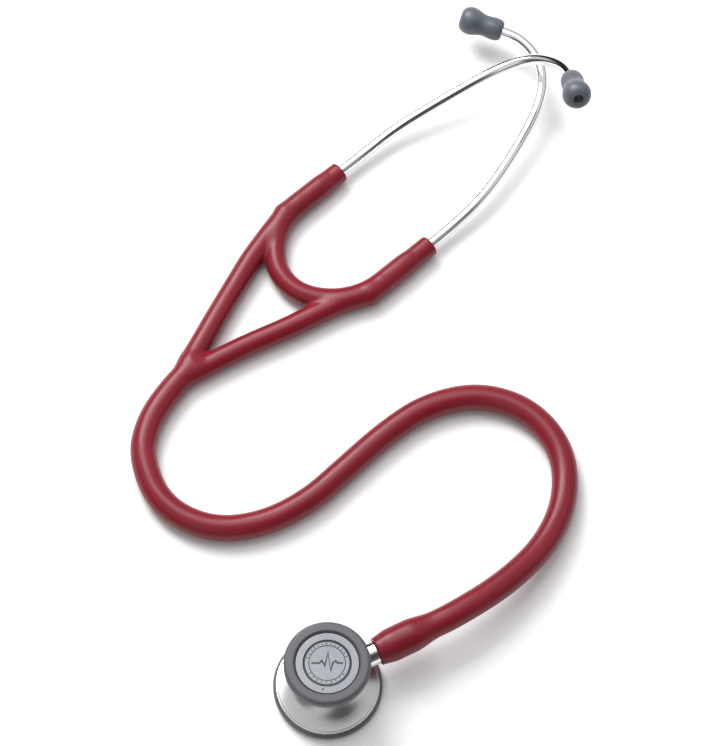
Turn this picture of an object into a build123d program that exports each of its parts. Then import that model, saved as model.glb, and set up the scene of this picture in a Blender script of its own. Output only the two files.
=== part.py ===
from build123d import *
from math import cos, radians, sin, tan
import os

# A dual-head stethoscope lying on a flat surface. Millimetres, +Z up. The origin is the
# centre of the face that the adult rim rests on; +Y runs from the chestpiece to the headset.

# ---- Chestpiece: heights from the resting face, radii from the chestpiece's own axis
chestpiece_height = 31.5
adult_rim_radius = 22.5
adult_window_radius = 19.8
adult_rim_depth = 3.9
adult_travel = 0.5
adult_recess = 0.0
paediatric_rim_radius = 17.75
paediatric_window_radius = 13.1
paediatric_rim_depth = 5.0
paediatric_travel = 0.4
paediatric_recess = 0.8
waist_radius = 8.6
waist_bottom = 12.5
waist_top = 19.0

rim_wall = 0.7  # rubber outside the steel flange
rim_snap_wall = 1.2  # rubber outside the opening of the snap lip
snap_lip = 0.7
flange_thickness = 1.4
surround_thickness = 0.35
surround_overlap = 0.9  # clamped under the rim
surround_reach = 1.6  # reaches in under the diaphragm's edge
diaphragm_thickness = 0.5
diaphragm_gap = 0.35
cavity_slope = 3.2

# ---- Stem: distances along its axis from the chestpiece's axis; the axis meets the hose's first run
bore_radius = 3.5
bore_start = -5.0
boss_radius = 6.4
boss_end = 13.0
collar_start = 10.0
collar_radius = 4.9
collar_length = 1.0
counterbore_radius = 5.2
ring_start = 11.4
ring_width = 0.8
ring_groove_radius = 5.7
ring_inner_radius = 3.8
stem_radius = 5.0
stem_end = 22.5
spigot_radius = 3.2
barb_radius = 3.9
barb_count = 3
barb_pitch = 4.5
air_radius = 1.6
port_radius = 1.5
running_clearance = 0.05
oring_minor_radius = 0.49
oring_place = 7.25
oring_fit = 0.03  # between the ring and the bore
detent_place = -3.2
detent_ball_radius = 1.0
detent_dimple_depth = 0.25
detent_spring_wire = 0.3
detent_spring_turns = 4

# ---- Hose: one soft tube with two lumens, laid on the surface in two loose loops
hose_diameter = 11.2
lumen_radius = 1.7
lumen_offset = 2.5
cuff_mouth_radius = 6.0
cuff_radius = 7.0
cuff_swell = 5.0  # length over which the mouth widens
cuff_taper = 9.0
hose_route = [
    (41.6, 20.8, 15.5),
    (52.8, 26.4, 15.5),
    (73.5, 41.5, 12.6),
    (91.0, 60.0, 9.0),
    (100.5, 82.0, 6.6),
    (100.0, 105.0, 5.6),
    (86.5, 123.5, 5.6),
    (65.0, 131.5, 5.6),
    (42.0, 126.0, 5.6),
    (24.0, 113.2, 5.6),
    (7.6, 97.4, 5.6),
    (-8.5, 81.3, 5.6),
    (-29.0, 70.5, 5.6),
    (-51.0, 68.5, 5.6),
    (-71.5, 79.5, 5.6),
    (-81.2, 101.0, 5.6),
    (-80.2, 117.0, 5.6),
    (-73.6, 130.7, 5.6),
    (-65.5, 138.2, 5.6),
]

# ---- Yoke: places are (along, across) in its own frame, from where the hose joins it
leg_radius = 4.7
fork_length = 20.0
fork_half_width = 11.2
shoulder = (72.0, 22.8)
web_place = 66.4
web_radius = 4.7
web_bend = 23.0
arm_spacing = 27.0  # half the distance between the arms
arm_radius = 5.3
hinge_place = 88.0
knuckle_gap = 0.9
sleeve_taper_start = 112.0
sleeve_taper_end = 117.0
sleeve_radius = 4.75
sleeve_end = 122.5
left_reach = -1.5  # how far each sleeve stops short of or past the common end
right_reach = 2.5

# ---- Binaural spring: a leaf bent to a U inside the yoke and the sleeves
leaf_thickness = 0.7
leaf_height = 5.0
leaf_gap = 0.25  # between the leaf and the ear tube
leaf_clearance = 0.05
leaf_end = 110.5
saddle_start = 106.5
saddle_length = 5.0
saddle_wall = 0.45

# ---- Ear tubes: points are (along the sleeve, inward, up) from the sleeve's end
ear_tube_radius = 2.5
ear_tube_wall = 0.6
ear_tube_insert = 15.5
ear_tube_route = [
    (14.0, 0.0, 0.0),
    (33.0, 0.4, 1.4),
    (57.0, 5.6, 5.0),
    (82.0, 13.0, 10.6),
    (95.8, 23.0, 17.0),
    (99.5, 38.5, 23.6),
    (94.0, 51.0, 28.4),
    (86.0, 63.5, 35.4),
]
left_roll = 6.0  # how far each tube is turned up or down in its sleeve
right_roll = -22.0
left_yaw = -1.3
right_yaw = 0.5
left_pitch = 0.0
right_pitch = 1.0
tip_length = 20.0
tip_ball_radius = 6.4
tip_base_radius = 4.3
tip_hole_radius = 2.2
tip_hole_depth = 8.0

arc_share = 0.45  # of the shorter run, for every bend of a tube's route

os.makedirs("parts", exist_ok=True)


def save(piece, name):
    """Label a finished piece and write it to its own file."""
    piece.label = name
    export_step(piece, f"parts/{name}.step")


def bend_radii(points):
    """The radius of each bend, as large as its two runs allow."""
    radii = []
    for before, here, after in zip(points, points[1:], points[2:]):
        run_in = Vector(*here) - Vector(*before)
        run_out = Vector(*after) - Vector(*here)
        half_turn = radians(run_in.get_angle(run_out)) / 2
        radii.append(arc_share * min(run_in.length, run_out.length) / tan(half_turn))
    return radii


def route_plane(points):
    """The plane square to a route at its first point, with its x level."""
    direction = Vector(*points[1]) - Vector(*points[0])
    level = Vector(-direction.Y, direction.X, 0)
    return Plane(origin=points[0], x_dir=level, z_dir=direction)


# ======== Chestpiece ========
stem_height = hose_route[0][2]
stem_direction = Vector(hose_route[0][0], hose_route[0][1], 0).normalized()
stem_origin = Vector(0, 0, stem_height)
stem_axis = Axis(stem_origin, stem_direction)
stem_section = Plane(
    origin=stem_origin,
    x_dir=stem_direction,
    z_dir=stem_direction.cross(Vector(0, 0, 1)),
)


def stem_plane(place):
    """The plane square to the stem at a distance along it, with its x level."""
    return Plane(
        origin=stem_origin + stem_direction * place,
        x_dir=(-stem_direction.Y, stem_direction.X, 0),
        z_dir=stem_direction,
    )


adult_front = adult_rim_depth - snap_lip - flange_thickness
paediatric_front = paediatric_rim_depth - snap_lip - flange_thickness
adult_flange_radius = adult_rim_radius - rim_wall
paediatric_flange_radius = paediatric_rim_radius - rim_wall
adult_neck_radius = adult_rim_radius - rim_snap_wall
paediatric_neck_radius = paediatric_rim_radius - rim_snap_wall
paediatric_flange_top = chestpiece_height - paediatric_front
skirt_edge = adult_rim_depth + 0.5
flare_edge = chestpiece_height - paediatric_rim_depth - 0.4

with BuildPart() as chestpiece_body:
    with BuildSketch(Plane.XZ):
        with BuildLine():
            Polyline(
                (0, adult_front),
                (adult_flange_radius, adult_front),
                (adult_flange_radius, adult_front + flange_thickness),
                (adult_neck_radius, adult_front + flange_thickness),
                (adult_neck_radius, skirt_edge),
            )
            ThreePointArc(
                (adult_neck_radius, skirt_edge),
                (
                    0.42 * adult_neck_radius + 0.58 * waist_radius,
                    0.65 * skirt_edge + 0.35 * waist_bottom,
                ),
                (waist_radius, waist_bottom),
            )
            Line((waist_radius, waist_bottom), (waist_radius, waist_top))
            ThreePointArc(
                (waist_radius, waist_top),
                (
                    0.62 * waist_radius + 0.38 * paediatric_neck_radius,
                    0.32 * waist_top + 0.68 * flare_edge,
                ),
                (paediatric_neck_radius, flare_edge),
            )
            Polyline(
                (paediatric_neck_radius, flare_edge),
                (paediatric_neck_radius, paediatric_flange_top - flange_thickness),
                (paediatric_flange_radius, paediatric_flange_top - flange_thickness),
                (paediatric_flange_radius, paediatric_flange_top),
                (0, paediatric_flange_top),
                (0, adult_front),
            )
        make_face()
    revolve(axis=Axis.Z)
    with BuildSketch(stem_plane(0)):
        Circle(boss_radius)
    extrude(amount=boss_end)
    # the bell-shaped cavity behind each diaphragm, and its port to the bore
    with BuildSketch(Plane.XZ):
        with BuildLine():
            adult_mouth = adult_window_radius - surround_reach
            Polyline(
                (0, adult_front),
                (adult_mouth, adult_front),
                (adult_mouth - 1, adult_front + 1),
                (port_radius, adult_front + cavity_slope),
                (port_radius, stem_height),
                (0, stem_height),
                close=True,
            )
        make_face()
    revolve(axis=Axis.Z, mode=Mode.SUBTRACT)
    with BuildSketch(Plane.XZ):
        with BuildLine():
            paediatric_mouth = paediatric_window_radius - surround_reach
            Polyline(
                (0, paediatric_flange_top),
                (paediatric_mouth, paediatric_flange_top),
                (paediatric_mouth - 0.6, paediatric_flange_top - 0.6),
                (port_radius, paediatric_flange_top - cavity_slope + 1),
                (port_radius, stem_height),
                (0, stem_height),
                close=True,
            )
        make_face()
    revolve(axis=Axis.Z, mode=Mode.SUBTRACT)
    # the stem's bore, counterbore and ring groove
    with BuildSketch(stem_section):
        with BuildLine():
            Polyline(
                (bore_start, 0),
                (bore_start, bore_radius),
                (collar_start, bore_radius),
                (collar_start, counterbore_radius),
                (ring_start, counterbore_radius),
                (ring_start, ring_groove_radius),
                (ring_start + ring_width, ring_groove_radius),
                (ring_start + ring_width, counterbore_radius),
                (boss_end, counterbore_radius),
                (boss_end, 0),
                close=True,
            )
        make_face()
    revolve(axis=stem_axis, mode=Mode.SUBTRACT)
    # one dimple for each listening side
    dimple_radius = detent_ball_radius + running_clearance
    dimple_centre = bore_radius + detent_dimple_depth - dimple_radius
    for side in (1, -1):
        dimple_at = stem_origin + stem_direction * detent_place + Vector(0, 0, side * dimple_centre)
        with Locations(dimple_at):
            Sphere(dimple_radius, mode=Mode.SUBTRACT)
save(chestpiece_body.part, "chestpiece_body")


def make_head(name, rim_radius, window_radius, rim_depth, recess, travel, face, outward):
    """A rim, a surround and a diaphragm; depths run inward from the face."""

    def at(radius, depth):
        return (radius, face - outward * depth)

    front = rim_depth - snap_lip - flange_thickness
    flange_radius = rim_radius - rim_wall
    snap_radius = rim_radius - rim_snap_wall
    clamp_radius = window_radius + surround_overlap
    with BuildPart() as rim:
        with BuildSketch(Plane.XZ):
            with BuildLine():
                Polyline(
                    at(window_radius, 0.6),
                    at(window_radius + 0.6, 0.15),
                    at(rim_radius - 1.9, 0),
                    at(rim_radius - 0.7, 0),
                    at(rim_radius - 0.15, 0.3),
                    at(rim_radius, 0.9),
                    at(rim_radius, rim_depth - 0.3),
                    at(rim_radius - 0.3, rim_depth),
                    at(snap_radius, rim_depth),
                    at(snap_radius, rim_depth - snap_lip),
                    at(flange_radius, rim_depth - snap_lip),
                    at(flange_radius, front),
                    at(clamp_radius, front),
                    at(clamp_radius, front - surround_thickness),
                    at(window_radius, front - surround_thickness),
                    close=True,
                )
            make_face()
        revolve(axis=Axis.Z)
    save(rim.part, f"{name}_rim")
    with BuildPart() as surround:
        with BuildSketch(Plane.XZ):
            with BuildLine():
                Polyline(
                    at(window_radius - surround_reach, front - surround_thickness),
                    at(clamp_radius, front - surround_thickness),
                    at(clamp_radius, front),
                    at(window_radius - surround_reach, front),
                    close=True,
                )
            make_face()
        revolve(axis=Axis.Z)
    save(surround.part, f"{name}_surround")
    edge_radius = window_radius - diaphragm_gap
    edge_depth = front - surround_thickness - travel - 0.1
    with BuildPart() as diaphragm:
        with BuildSketch(Plane.XZ):
            with BuildLine():
                Polyline(
                    at(0, recess),
                    at(edge_radius, recess),
                    at(edge_radius, max(edge_depth, recess + diaphragm_thickness)),
                    at(edge_radius - 0.6, max(edge_depth, recess + diaphragm_thickness)),
                    at(edge_radius - 0.6, recess + diaphragm_thickness),
                    at(0, recess + diaphragm_thickness),
                    close=True,
                )
            make_face()
        revolve(axis=Axis.Z)
    save(diaphragm.part, f"{name}_diaphragm")


make_head(
    "adult", adult_rim_radius, adult_window_radius, adult_rim_depth,
    adult_recess, adult_travel, 0.0, -1,
)
make_head(
    "paediatric", paediatric_rim_radius, paediatric_window_radius, paediatric_rim_depth,
    paediatric_recess, paediatric_travel, chestpiece_height, 1,
)

# ======== Stem ========
journal_radius = bore_radius - running_clearance
oring_groove_radius = bore_radius - oring_fit - 2 * oring_minor_radius
collar_front = collar_start + 0.2
collar_back = collar_front + collar_length
neck_radius = journal_radius
oring_half_width = oring_minor_radius + 0.25
spigot_points = [(stem_end, spigot_radius)]
for barb in range(barb_count):
    barb_start = stem_end + 1.5 + barb * barb_pitch
    spigot_points.append((barb_start, spigot_radius))
    spigot_points.append((barb_start, barb_radius))
    spigot_points.append((barb_start + 0.7 * barb_pitch, spigot_radius))
spigot_end = spigot_points[-1][0]

with BuildPart() as stem:
    with BuildSketch(stem_section):
        with BuildLine():
            Polyline(
                (bore_start + 0.5, 0),
                (bore_start + 0.5, journal_radius),
                (oring_place - oring_half_width, journal_radius),
                (oring_place - oring_half_width, oring_groove_radius),
                (oring_place + oring_half_width, oring_groove_radius),
                (oring_place + oring_half_width, journal_radius),
                (collar_front, journal_radius),
                (collar_front, collar_radius),
                (collar_back, collar_radius),
                (collar_back, neck_radius),
                (boss_end + 0.3, neck_radius),
                (boss_end + 0.3, stem_radius - 0.3),
                (boss_end + 0.6, stem_radius),
                (stem_end - 0.3, stem_radius),
                (stem_end, stem_radius - 0.3),
                *spigot_points,
                (spigot_end, 0),
                close=True,
            )
        make_face()
    revolve(axis=stem_axis)
    # air passage, with its side port towards the adult side
    with BuildSketch(stem_plane(-port_radius)):
        Circle(air_radius)
    extrude(amount=spigot_end + port_radius, mode=Mode.SUBTRACT)
    with BuildSketch(Plane(origin=stem_origin, z_dir=(0, 0, -1))):
        Circle(port_radius)
    extrude(amount=bore_radius, mode=Mode.SUBTRACT)
    # pocket of the detent's ball and spring
    pocket_radius = detent_ball_radius + running_clearance
    pocket_depth = 2 * journal_radius - 0.8
    pocket_mouth = stem_origin + stem_direction * detent_place + Vector(0, 0, journal_radius)
    with BuildSketch(Plane(origin=pocket_mouth, z_dir=(0, 0, -1))):
        Circle(pocket_radius)
    extrude(amount=pocket_depth, mode=Mode.SUBTRACT)
save(stem.part, "stem")

with BuildPart() as stem_o_ring:
    with BuildSketch(stem_section):
        with Locations((oring_place, oring_groove_radius + oring_minor_radius)):
            Circle(oring_minor_radius)
    revolve(axis=stem_axis)
save(stem_o_ring.part, "stem_o_ring")

with BuildPart() as stem_retaining_ring:
    with BuildSketch(stem_plane(ring_start)):
        Circle(ring_groove_radius)
        Circle(ring_inner_radius, mode=Mode.SUBTRACT)
        with Locations((ring_groove_radius, 0)):
            Rectangle(2 * (ring_groove_radius - ring_inner_radius) + 1, 2.4, mode=Mode.SUBTRACT)
    extrude(amount=ring_width)
save(stem_retaining_ring.part, "stem_retaining_ring")

ball_height = journal_radius - detent_ball_radius
with BuildPart() as detent_ball:
    with Locations(stem_origin + stem_direction * detent_place + Vector(0, 0, ball_height)):
        Sphere(detent_ball_radius)
save(detent_ball.part, "detent_ball")

spring_bottom = journal_radius - pocket_depth + detent_spring_wire / 2
spring_top = ball_height - detent_ball_radius - detent_spring_wire / 2
spring_height = spring_top - spring_bottom
coil_radius = pocket_radius - detent_spring_wire / 2 - 0.15
coil = Helix(
    pitch=spring_height / detent_spring_turns,
    height=spring_height,
    radius=coil_radius,
    center=stem_origin + stem_direction * detent_place + Vector(0, 0, spring_bottom),
)
with BuildPart() as detent_spring:
    with BuildLine():
        add(coil)
    with BuildSketch(Plane(origin=coil @ 0, z_dir=coil % 0)):
        Circle(detent_spring_wire / 2)
    sweep()
save(detent_spring.part, "detent_spring")

# ======== Hose ========
hose_radius = hose_diameter / 2
cuff_end = (Vector(*hose_route[0]) - stem_origin).length
with BuildPart() as hose_cuff:
    with BuildSketch(stem_section):
        with BuildLine():
            Polyline(
                (stem_end, barb_radius),
                (stem_end, cuff_mouth_radius),
                (stem_end + cuff_swell, cuff_radius),
                (cuff_end - cuff_taper, cuff_radius),
                (cuff_end, hose_radius),
                (cuff_end, lumen_offset + lumen_radius),
                (spigot_end + 1, lumen_offset + lumen_radius),
                (spigot_end + 1, barb_radius),
                close=True,
            )
        make_face()
    revolve(axis=stem_axis)
save(hose_cuff.part, "hose_cuff")

hose_radii = bend_radii(hose_route)
print("hose bend radii:", [round(radius, 1) for radius in hose_radii])
with BuildPart() as hose:
    with BuildLine() as hose_line:
        FilletPolyline(*hose_route, radius=hose_radii)
    with BuildSketch(route_plane(hose_route)) as hose_section:
        Circle(hose_radius)
        with Locations((lumen_offset, 0), (-lumen_offset, 0)):
            Circle(lumen_radius, mode=Mode.SUBTRACT)
    sweep()
hose_length = sum(edge.length for edge in hose_line.edges())
expected_volume = hose_section.sketch.area * hose_length
volume_ratio = hose.part.volume / expected_volume
print("hose length:", round(hose_length, 1), "volume ratio:", round(volume_ratio, 4))
save(hose.part, "hose")

# ======== Yoke ========
yoke_origin = Vector(*hose_route[-1])
along = (Vector(*hose_route[-1]) - Vector(*hose_route[-2])).normalized()
across = Vector(-along.Y, along.X, 0)
up = Vector(0, 0, 1)


def yoke_point(place, side=0.0, height=0.0):
    """A point of the yoke's frame in the part's frame."""
    return yoke_origin + along * place + across * side + up * height


def tube_plane(start, end):
    """The plane square to a straight run at its start, with its x level."""
    return route_plane([tuple(start), tuple(end)])


sides = {
    "left": (1, left_reach, left_roll, left_yaw, left_pitch),
    "right": (-1, right_reach, right_roll, right_yaw, right_pitch),
}
leaf_offset = ear_tube_radius + leaf_gap + leaf_thickness / 2
leaf_place = arm_spacing - leaf_offset
leaf_bend = web_bend - leaf_offset


def leaf_band(thickness, height, end):
    """The U of the leaf spring, as a band of the given section."""
    route = [
        yoke_point(end, leaf_place),
        yoke_point(web_place, leaf_place),
        yoke_point(web_place, -leaf_place),
        yoke_point(end, -leaf_place),
    ]
    with BuildPart() as band:
        with BuildLine():
            FilletPolyline(*route, radius=leaf_bend)
        with BuildSketch(tube_plane(route[0], route[1])):
            Rectangle(thickness, height)
        sweep()
    return band.part


leaf = leaf_band(leaf_thickness, leaf_height, leaf_end)
leaf_slot = leaf_band(
    leaf_thickness + 2 * leaf_clearance,
    leaf_height + 2 * leaf_clearance,
    leaf_end + 0.2,
)

with BuildPart() as yoke:
    # the fork, from the round hose to the two legs side by side
    with BuildSketch(Plane(origin=yoke_origin, x_dir=across, z_dir=along)):
        Circle(hose_radius)
    with BuildSketch(Plane(origin=yoke_point(fork_length), x_dir=across, z_dir=along)):
        Ellipse(fork_half_width, leg_radius)
    loft()
    for side in (1, -1):
        leg_start = yoke_point(fork_length - 6, side * (fork_half_width - leg_radius - 2))
        leg_end = yoke_point(shoulder[0], side * shoulder[1])
        with BuildSketch(tube_plane(leg_start, leg_end)):
            Circle(leg_radius)
        extrude(amount=(leg_end - leg_start).length)
        with Locations(leg_end):
            Sphere(leg_radius)
    web_route = [
        yoke_point(hinge_place + arm_radius, arm_spacing),
        yoke_point(web_place, arm_spacing),
        yoke_point(web_place, -arm_spacing),
        yoke_point(hinge_place + arm_radius, -arm_spacing),
    ]
    with BuildLine():
        FilletPolyline(*web_route, radius=web_bend)
    with BuildSketch(tube_plane(web_route[0], web_route[1])):
        Circle(web_radius)
    sweep()
    for side in (1, -1):
        # the thicker end of the arm, then the cup that the knuckle turns in
        arm_start = yoke_point(hinge_place - 2 * arm_radius, side * (arm_spacing - 0.6))
        arm_end = yoke_point(hinge_place, side * arm_spacing)
        with BuildSketch(tube_plane(arm_start, arm_end)):
            Circle(arm_radius)
        extrude(amount=(arm_end - arm_start).length)
        cup_floor = yoke_point(hinge_place, side * arm_spacing, -2 * arm_radius)
        with BuildSketch(Plane(origin=cup_floor)):
            Circle(arm_radius + knuckle_gap)
            with Locations(Plane(origin=(0, 0, 0), x_dir=along, z_dir=up)):
                with Locations((2 * arm_radius, 0)):
                    Rectangle(4 * arm_radius, 4 * arm_radius)
        extrude(amount=4 * arm_radius, mode=Mode.SUBTRACT)
        # one lumen for each ear
        lumen_route = [
            yoke_point(0, side * lumen_offset),
            yoke_point(fork_length, side * (fork_half_width - leg_radius)),
            yoke_point(shoulder[0], side * shoulder[1]),
            yoke_point(hinge_place, side * arm_spacing),
        ]
        with BuildLine():
            FilletPolyline(*lumen_route, radius=bend_radii([tuple(point) for point in lumen_route]))
        with BuildSketch(tube_plane(lumen_route[0], lumen_route[1])):
            Circle(air_radius)
        sweep(mode=Mode.SUBTRACT)
    add(leaf_slot, mode=Mode.SUBTRACT)
save(yoke.part, "yoke")
save(leaf, "binaural_spring")


# ======== Headset arms ========
def turned(first, second, degrees):
    """A pair of coordinates turned from the first axis towards the second."""
    turn = radians(degrees)
    return first * cos(turn) - second * sin(turn), first * sin(turn) + second * cos(turn)


def tube_point(side, reach, roll, yaw, pitch, point):
    """A point of an ear tube's route, turned as the tube sits in its sleeve."""
    forward, inward, height = point
    inward, height = turned(inward, height, roll)
    forward, height = turned(forward, height, pitch)
    forward, inward = turned(forward, inward, -yaw)
    return yoke_point(sleeve_end + reach + forward, side * (arm_spacing - inward), height)


for name, (side, reach, roll, yaw, pitch) in sides.items():
    hinge = yoke_point(hinge_place, side * arm_spacing)
    insert_start = yoke_point(sleeve_end + reach - ear_tube_insert, side * arm_spacing)
    route = [tube_point(side, reach, roll, yaw, pitch, point) for point in ear_tube_route]
    tip_end = route[-1]
    tip_direction = (route[-1] - route[-2]).normalized()
    tip_start = tip_end - tip_direction * tip_length
    tube_end = tip_end - tip_direction * tip_hole_depth
    tube_route = [tuple(insert_start)] + [tuple(point) for point in route[:-1]] + [tuple(tube_end)]

    with BuildPart() as tube_body:
        with BuildLine():
            FilletPolyline(*tube_route, radius=bend_radii(tube_route))
        with BuildSketch(route_plane(tube_route)):
            Circle(ear_tube_radius)
        sweep()
    with BuildPart() as ear_tube:
        with BuildLine():
            FilletPolyline(*tube_route, radius=bend_radii(tube_route))
        with BuildSketch(route_plane(tube_route)):
            Circle(ear_tube_radius)
            Circle(ear_tube_radius - ear_tube_wall, mode=Mode.SUBTRACT)
        sweep()
    save(ear_tube.part, f"{name}_ear_tube")

    saddle_plane = Plane(
        origin=yoke_point(saddle_start, side * arm_spacing),
        x_dir=across * side,
        z_dir=along,
    )
    saddle_outer = leaf_offset + leaf_thickness / 2 + saddle_wall
    saddle_inner = ear_tube_radius + saddle_wall
    with BuildPart() as saddle_block:
        with BuildSketch(saddle_plane):
            with Locations(((saddle_inner - saddle_outer) / 2, 0)):
                Rectangle(saddle_inner + saddle_outer, 2 * saddle_inner)
        extrude(amount=saddle_length)
        fillet(saddle_block.edges().filter_by(Axis(saddle_plane.origin, along)), 0.8)
    with BuildPart() as saddle:
        add(saddle_block.part)
        add(tube_body.part, mode=Mode.SUBTRACT)
        add(leaf_slot, mode=Mode.SUBTRACT)
        with BuildSketch(saddle_plane):
            Circle(ear_tube_radius)
        extrude(amount=saddle_length, mode=Mode.SUBTRACT)
    save(saddle.part, f"{name}_spring_saddle")

    taper = [(sleeve_taper_start, arm_radius), (sleeve_taper_end, sleeve_radius)]
    sleeve_section = Plane(
        origin=yoke_point(0, side * arm_spacing),
        x_dir=along,
        z_dir=along.cross(up),
    )
    with BuildPart() as sleeve:
        with BuildSketch(sleeve_section):
            with BuildLine():
                Polyline(
                    (hinge_place, 0),
                    (hinge_place, arm_radius),
                    *taper,
                    (sleeve_end + reach - 0.5, sleeve_radius),
                    (sleeve_end + reach, sleeve_radius - 0.5),
                    (sleeve_end + reach, 0),
                    close=True,
                )
            make_face()
        revolve(axis=Axis(yoke_point(0, side * arm_spacing), along))
        with Locations(hinge):
            Sphere(arm_radius)
        bore_place = yoke_point(hinge_place - arm_radius, side * arm_spacing)
        with BuildSketch(Plane(origin=bore_place, x_dir=across, z_dir=along)):
            Circle(air_radius)
        extrude(amount=saddle_start - hinge_place + arm_radius, mode=Mode.SUBTRACT)
        add(saddle_block.part, mode=Mode.SUBTRACT)
        add(leaf_slot, mode=Mode.SUBTRACT)
        add(tube_body.part, mode=Mode.SUBTRACT)
    save(sleeve.part, f"{name}_sleeve")

    tip_section = Plane(origin=tip_start, x_dir=tip_direction, z_dir=tip_direction.cross(up))
    ball_place = tip_length - tip_ball_radius + 0.2
    with BuildPart() as ear_tip:
        with BuildSketch(tip_section):
            with BuildLine():
                Polyline(
                    (0, 0),
                    (0, tip_base_radius),
                    (0.5 * tip_length, tip_base_radius + 0.9),
                    (ball_place - 1.2, 0.98 * tip_ball_radius),
                )
                ThreePointArc(
                    (ball_place - 1.2, 0.98 * tip_ball_radius),
                    (ball_place + 0.6 * tip_ball_radius, 0.8 * tip_ball_radius),
                    (tip_length, 0.42 * tip_ball_radius),
                )
                Polyline((tip_length, 0.42 * tip_ball_radius), (tip_length, 0), (0, 0))
            make_face()
        revolve(axis=Axis(tip_start, tip_direction))
        add(tube_body.part, mode=Mode.SUBTRACT)
        with BuildSketch(Plane(origin=tube_end, z_dir=tip_direction)):
            Circle(tip_hole_radius)
        extrude(amount=tip_hole_depth, mode=Mode.SUBTRACT)
    save(ear_tip.part, f"{name}_ear_tip")
    print(name, "hinge", [round(value, 2) for value in hinge])
    print(name, "tip end", [round(value, 1) for value in tip_end])

print("stem axis direction", [round(value, 5) for value in stem_direction])
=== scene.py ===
import math
import bmesh
import bpy
import numpy as np
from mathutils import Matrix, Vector


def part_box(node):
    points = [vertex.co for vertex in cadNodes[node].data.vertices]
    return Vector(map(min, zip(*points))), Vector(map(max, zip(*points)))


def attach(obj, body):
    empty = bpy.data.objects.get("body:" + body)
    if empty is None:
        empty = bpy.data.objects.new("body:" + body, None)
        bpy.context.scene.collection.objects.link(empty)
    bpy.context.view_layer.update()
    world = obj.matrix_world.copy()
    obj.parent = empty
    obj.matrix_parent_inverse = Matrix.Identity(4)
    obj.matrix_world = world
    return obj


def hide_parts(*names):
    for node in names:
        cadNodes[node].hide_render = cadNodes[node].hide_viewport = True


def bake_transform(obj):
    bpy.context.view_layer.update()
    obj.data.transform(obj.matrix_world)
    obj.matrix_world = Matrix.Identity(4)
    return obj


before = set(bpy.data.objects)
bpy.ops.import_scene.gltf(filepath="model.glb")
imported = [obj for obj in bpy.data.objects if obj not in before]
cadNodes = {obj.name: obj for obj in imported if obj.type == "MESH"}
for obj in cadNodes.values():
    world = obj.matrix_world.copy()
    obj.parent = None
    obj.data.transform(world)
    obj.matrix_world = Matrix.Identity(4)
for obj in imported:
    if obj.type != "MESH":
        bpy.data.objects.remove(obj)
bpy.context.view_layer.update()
mm = 0.001
print("frame: ", len(cadNodes), "CAD pieces")


# camera and studio

cameraSetup = {
    "aim": (0.0110, 0.1432, 0.0),  # middle of the laid-out stethoscope
    "elevation": 65.0,  # degrees above the table
    "distance": 1.2,
    "lens": 133.2,
}


def addCamera(setup):
    data = bpy.data.cameras.new("productCamera")
    data.lens = setup["lens"]
    data.clip_end = 20
    camera = bpy.data.objects.new("productCamera", data)
    bpy.context.scene.collection.objects.link(camera)
    tilt = math.radians(setup["elevation"])
    reach = Vector((0, -math.cos(tilt), math.sin(tilt)))
    camera.location = Vector(setup["aim"]) + setup["distance"] * reach
    camera.rotation_euler = (math.pi / 2 - tilt, 0, 0)
    bpy.context.scene.camera = camera


addCamera(cameraSetup)
bpy.context.scene.view_settings.view_transform = "Standard"

studio = {
    "roomLight": (1.0, 1.0, 1.0),
    "roomStrength": 0.78,
    "horizonShade": 0.10,  # how much light is left in the dark band round the walls
    "horizonBand": (0.12, 0.44),  # heights where the wall's dark band ends and the white tent begins
    "flags": [  # dark cards in the tent: direction, inner and outer edge as cosines, light left
        ((0.40, -0.60, 0.69), (0.955, 0.80), 0.10),
        ((-0.90, -0.35, 0.25), (0.97, 0.84), 0.25),
        ((-0.43, 0.87, 0.23), (0.97, 0.86), 0.12),
    ],
    "floorSize": 6.0,
    "floorColour": (0.90, 0.90, 0.90),
    # name: place, size, power
    "panels": {
        "keyPanel": ((-0.50, 0.95, 1.05), (0.75, 0.75), 20.0),
        "topPanel": ((-0.10, 0.55, 1.60), (0.9, 0.9), 8.0),
    },
}


def addPanel(name, place, size, power, target):
    data = bpy.data.lights.new(name, "AREA")
    data.shape = "RECTANGLE"
    data.size, data.size_y = size
    data.energy = power
    panel = bpy.data.objects.new(name, data)
    bpy.context.scene.collection.objects.link(panel)
    panel.location = place
    panel.rotation_euler = (target - Vector(place)).to_track_quat("-Z", "Y").to_euler()


def addNode(tree, kind, inputs=None, **settings):
    node = tree.nodes.new(kind)
    for key, value in settings.items():
        setattr(node, key, value)
    for key, value in (inputs or {}).items():
        if hasattr(value, "is_output"):
            tree.links.new(value, node.inputs[key])
        else:
            node.inputs[key].default_value = value
    return node


def spread(tree, value, low, high, fromLow=0.3, fromHigh=0.7, curve="LINEAR"):
    inputs = {"Value": value, "From Min": fromLow, "From Max": fromHigh, "To Min": low, "To Max": high}
    return addNode(tree, "ShaderNodeMapRange", inputs, interpolation_type=curve).outputs["Result"]


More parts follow.
